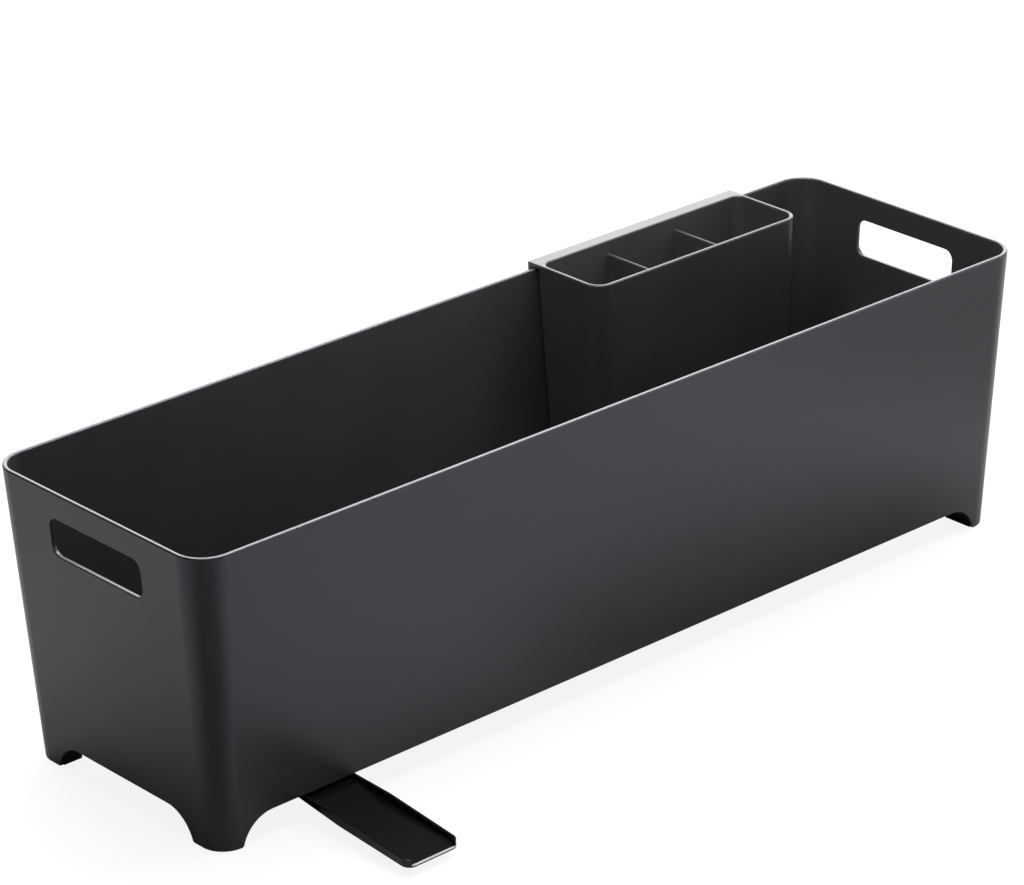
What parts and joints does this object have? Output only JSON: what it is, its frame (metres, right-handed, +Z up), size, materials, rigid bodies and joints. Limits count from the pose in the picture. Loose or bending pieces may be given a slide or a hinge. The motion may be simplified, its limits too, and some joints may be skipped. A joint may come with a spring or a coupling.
{
  "type": "dish rack",
  "caption": "Long slim basket for drying dishes, on corner legs, with a hooked cutlery holder, a loose drain grid and a swivelling drain spout.",
  "frame": {"origin": "on the ground, midway between the basket's ends in X, and midway in Y between the tip of the spout, turned to the front, and the outer lip of the cutlery holder", "axes": "+X along the basket, towards the end with the cutlery holder; +Y from front to back, the spout points along -Y at rest; +Z up"},
  "size_m": [0.5, 0.2108, 0.1459],
  "materials": {
    "basket_plastic": "satin charcoal, very fine moulded texture",
    "holder_plastic": "satin near black, very fine moulded texture",
    "grid_plastic": "satin near black",
    "spout_plastic": "polished black",
    "seal_rubber": "soft matt black",
    "pad_rubber": "soft matt black"
  },
  "bodies": {
    "rack": {"basket_body": "basket_plastic", "spout_seal": "seal_rubber", "foot_pad_front_left": "pad_rubber", "foot_pad_front_right": "pad_rubber", "foot_pad_back_left": "pad_rubber", "foot_pad_back_right": "pad_rubber"},
    "holder": {"cutlery_holder": "holder_plastic"},
    "grid": {"drain_grid": "grid_plastic"},
    "spout": {"drain_spout": "spout_plastic"}
  },
  "joints": [
    {"name": "spout_swivel", "type": "hinge", "parent": "rack", "child": "spout", "pos_m": [-0.18, 0.0291, 0.013], "axis": [0, 0, 1], "range_deg": [-15, 195]},
    {"name": "holder_lift", "type": "slide", "parent": "rack", "child": "holder", "axis": [0, 0, 1], "range_m": [0, 0.1]},
    {"name": "grid_lift", "type": "slide", "parent": "rack", "child": "grid", "axis": [0, 0, 1], "range_m": [0, 0.02]}
  ]
}
